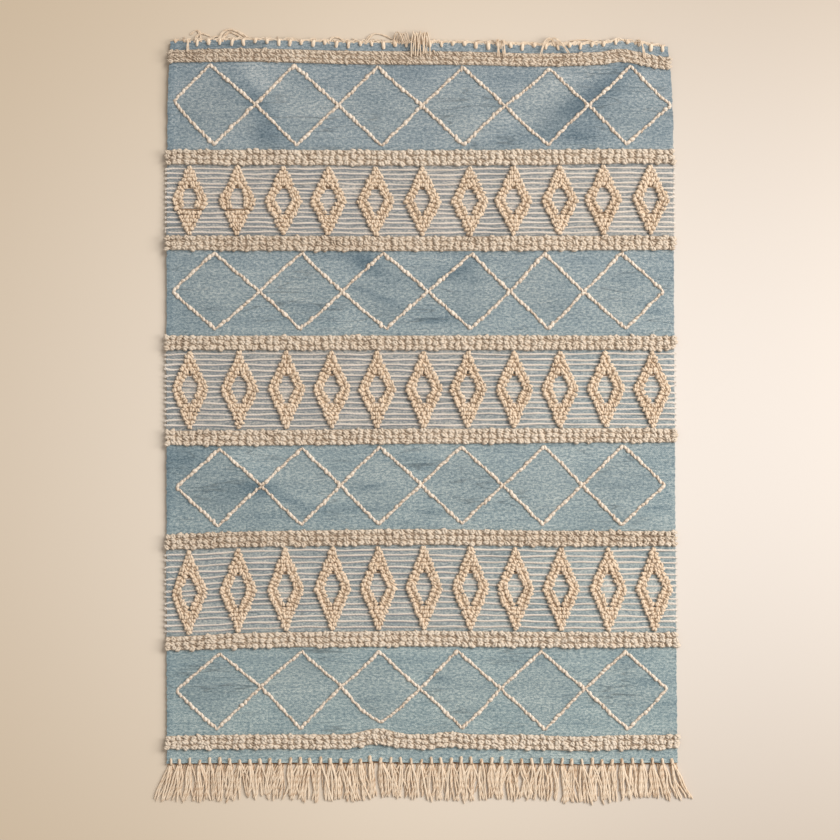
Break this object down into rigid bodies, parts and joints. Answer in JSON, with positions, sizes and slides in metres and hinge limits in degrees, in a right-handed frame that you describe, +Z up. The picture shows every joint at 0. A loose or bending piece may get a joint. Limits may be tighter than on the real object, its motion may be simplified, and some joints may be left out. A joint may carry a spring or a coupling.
{
  "type": "kilim rug",
  "caption": "Rectangular flatwoven blue rug with raised cream pile bands, rows of knotted diamonds and yarn line diamonds, a spread fringe at one end and one folded under the other.",
  "frame": {"origin": "on the floor under the middle of the cloth, on the flat part of its underside", "axes": "+X across the rug to the right as seen from above with the spread fringe nearest, +Y along it from the spread fringe to the folded one, +Z up through the pile"},
  "size_m": [1.2379, 1.8376, 0.0255],
  "materials": {
    "ground_cloth": "dusty blue weft-faced flatweave with thin cream stripes in three fields",
    "pile_yarn": "thick matt cream wool knots, cut close",
    "line_yarn": "cream yarn wrapped over the weave",
    "fringe_yarn": "twisted cream cotton warp ends"
  },
  "bodies": {
    "root": {"ground": "ground_cloth", "pile_band_1": "pile_yarn", "pile_band_2": "pile_yarn", "pile_band_3": "pile_yarn", "pile_band_4": "pile_yarn", "pile_band_5": "pile_yarn", "pile_band_6": "pile_yarn", "pile_band_7": "pile_yarn", "pile_band_8": "pile_yarn", "pile_diamond_1_1": "pile_yarn", "pile_diamond_1_2": "pile_yarn", "pile_diamond_1_3": "pile_yarn", "pile_diamond_1_4": "pile_yarn", "pile_diamond_1_5": "pile_yarn", "pile_diamond_1_6": "pile_yarn", "pile_diamond_1_7": "pile_yarn", "pile_diamond_1_8": "pile_yarn", "pile_diamond_1_9": "pile_yarn", "pile_diamond_1_10": "pile_yarn", "pile_diamond_1_11": "pile_yarn", "pile_diamond_2_1": "pile_yarn", "pile_diamond_2_2": "pile_yarn", "pile_diamond_2_3": "pile_yarn", "pile_diamond_2_4": "pile_yarn", "pile_diamond_2_5": "pile_yarn", "pile_diamond_2_6": "pile_yarn", "pile_diamond_2_7": "pile_yarn", "pile_diamond_2_8": "pile_yarn", "pile_diamond_2_9": "pile_yarn", "pile_diamond_2_10": "pile_yarn", "pile_diamond_2_11": "pile_yarn", "pile_diamond_3_1": "pile_yarn", "pile_diamond_3_2": "pile_yarn", "pile_diamond_3_3": "pile_yarn", "pile_diamond_3_4": "pile_yarn", "pile_diamond_3_5": "pile_yarn", "pile_diamond_3_6": "pile_yarn", "pile_diamond_3_7": "pile_yarn", "pile_diamond_3_8": "pile_yarn", "pile_diamond_3_9": "pile_yarn", "pile_diamond_3_10": "pile_yarn", "pile_diamond_3_11": "pile_yarn", "line_row_1": "line_yarn", "line_row_2": "line_yarn", "line_row_3": "line_yarn", "line_row_4": "line_yarn", "fringe_bottom": "fringe_yarn", "fringe_top": "fringe_yarn"}
  },
  "joints": []
}
